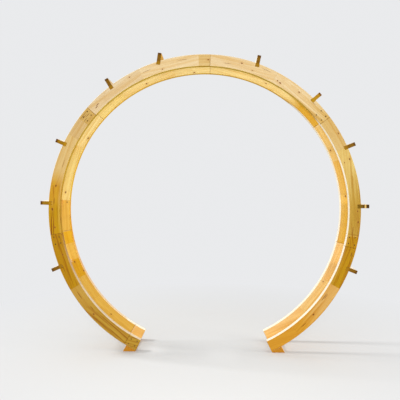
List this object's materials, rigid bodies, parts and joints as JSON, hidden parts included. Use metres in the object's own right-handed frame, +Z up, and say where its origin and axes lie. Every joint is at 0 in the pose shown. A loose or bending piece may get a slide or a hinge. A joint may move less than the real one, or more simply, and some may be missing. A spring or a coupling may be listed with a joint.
{
  "type": "timber moon gate",
  "caption": "Walk-through timber moon gate with front and rear circular rims of half-lapped curved segments, tied by housed cross boards and standing on wedge feet.",
  "frame": {"origin": "on the ground, under the middle of the gate's width and depth", "axes": "+X to the right as seen from the front, +Y from the front rim to the rear rim, +Z up"},
  "size_m": [2.5437, 0.32, 2.3186],
  "materials": {
    "front_rim_timber": "planed pale softwood with a clear satin oil",
    "rear_rim_timber": "planed pale softwood with a clear satin oil",
    "cross_board_timber": "planed softwood, darker at the end grain",
    "foot_timber": "planed softwood wedge",
    "screw_steel": "yellow-passivated countersunk screws, dulled"
  },
  "bodies": {
    "root": {"front_rim_segment_1": "front_rim_timber", "front_rim_segment_2": "front_rim_timber", "front_rim_segment_3": "front_rim_timber", "front_rim_segment_4": "front_rim_timber", "front_rim_segment_5": "front_rim_timber", "front_rim_segment_6": "front_rim_timber", "rear_rim_segment_1": "rear_rim_timber", "rear_rim_segment_2": "rear_rim_timber", "rear_rim_segment_3": "rear_rim_timber", "rear_rim_segment_4": "rear_rim_timber", "rear_rim_segment_5": "rear_rim_timber", "rear_rim_segment_6": "rear_rim_timber", "front_rim_left_end_block": "front_rim_timber", "rear_rim_left_end_block": "rear_rim_timber", "cross_board_left_1": "cross_board_timber", "cross_board_left_2": "cross_board_timber", "cross_board_left_3": "cross_board_timber", "cross_board_left_4": "cross_board_timber", "cross_board_left_5": "cross_board_timber", "cross_board_right_1": "cross_board_timber", "cross_board_right_2": "cross_board_timber", "cross_board_right_3": "cross_board_timber", "cross_board_right_4": "cross_board_timber", "cross_board_right_5": "cross_board_timber", "left_foot": "foot_timber", "right_foot": "foot_timber"}
  },
  "joints": []
}
